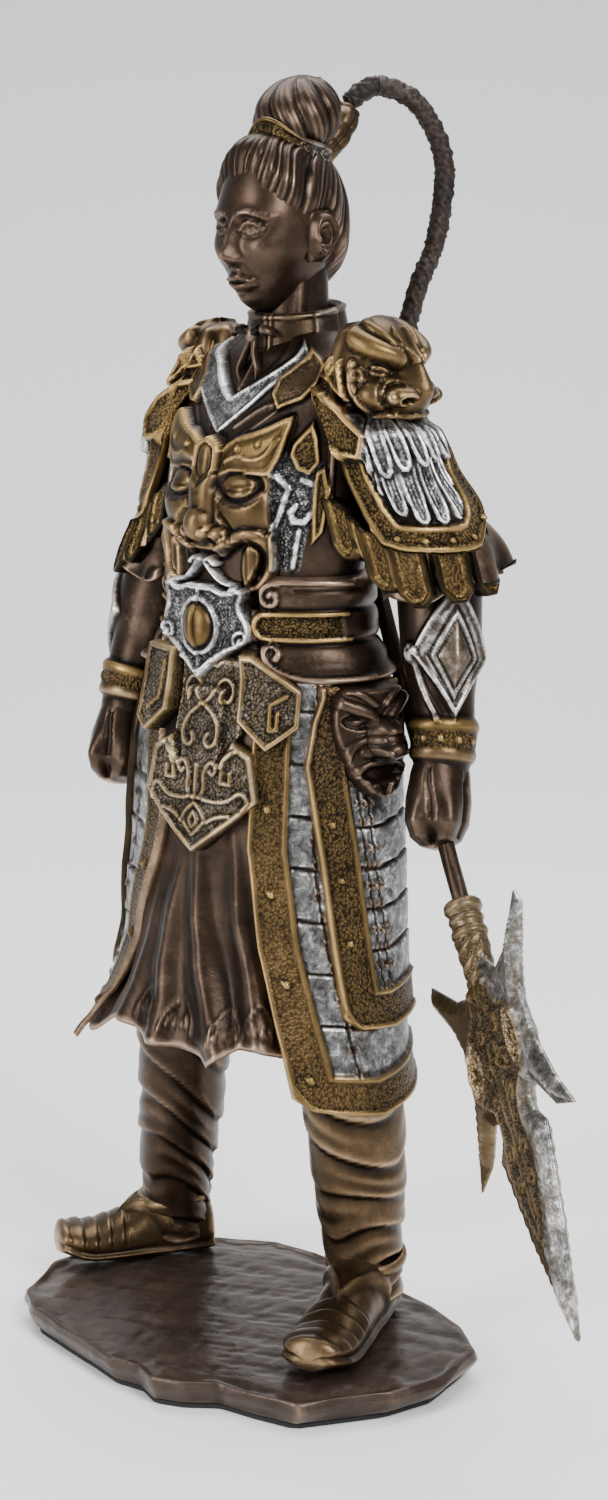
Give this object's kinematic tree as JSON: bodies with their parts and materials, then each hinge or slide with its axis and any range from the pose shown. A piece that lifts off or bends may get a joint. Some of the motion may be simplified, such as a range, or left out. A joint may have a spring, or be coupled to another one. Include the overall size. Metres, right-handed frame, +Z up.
{
  "type": "warrior statuette",
  "caption": "Standing armoured warrior statuette with topknot, plumes, long robe and a pole weapon held point down, on a low rock slab.",
  "frame": {"origin": "middle of the pad's underside, on the surface the statuette stands on", "axes": "+Z up, the warrior faces -Y, +X towards his left hand"},
  "size_m": [0.1864, 0.1111, 0.3236],
  "materials": {
    "figure": "cold-cast bronze: dark brown satin with warm worn highlights, antique gold and silver ornament over dark pebbled grounds",
    "halberd": "cold-cast bronze: dark shaft with worn gold, gold scroll carving, brushed-silver blade edges",
    "plume": "dark brown, rough and matte, with light brown wear on the ridges",
    "base": "dark brown satin rock with lighter worn edges",
    "pad": "black felt"
  },
  "bodies": {
    "root": {"base_pad": "pad", "base": "base", "figure": "figure", "halberd": "halberd", "plume_left": "plume", "plume_right": "plume"}
  },
  "joints": []
}
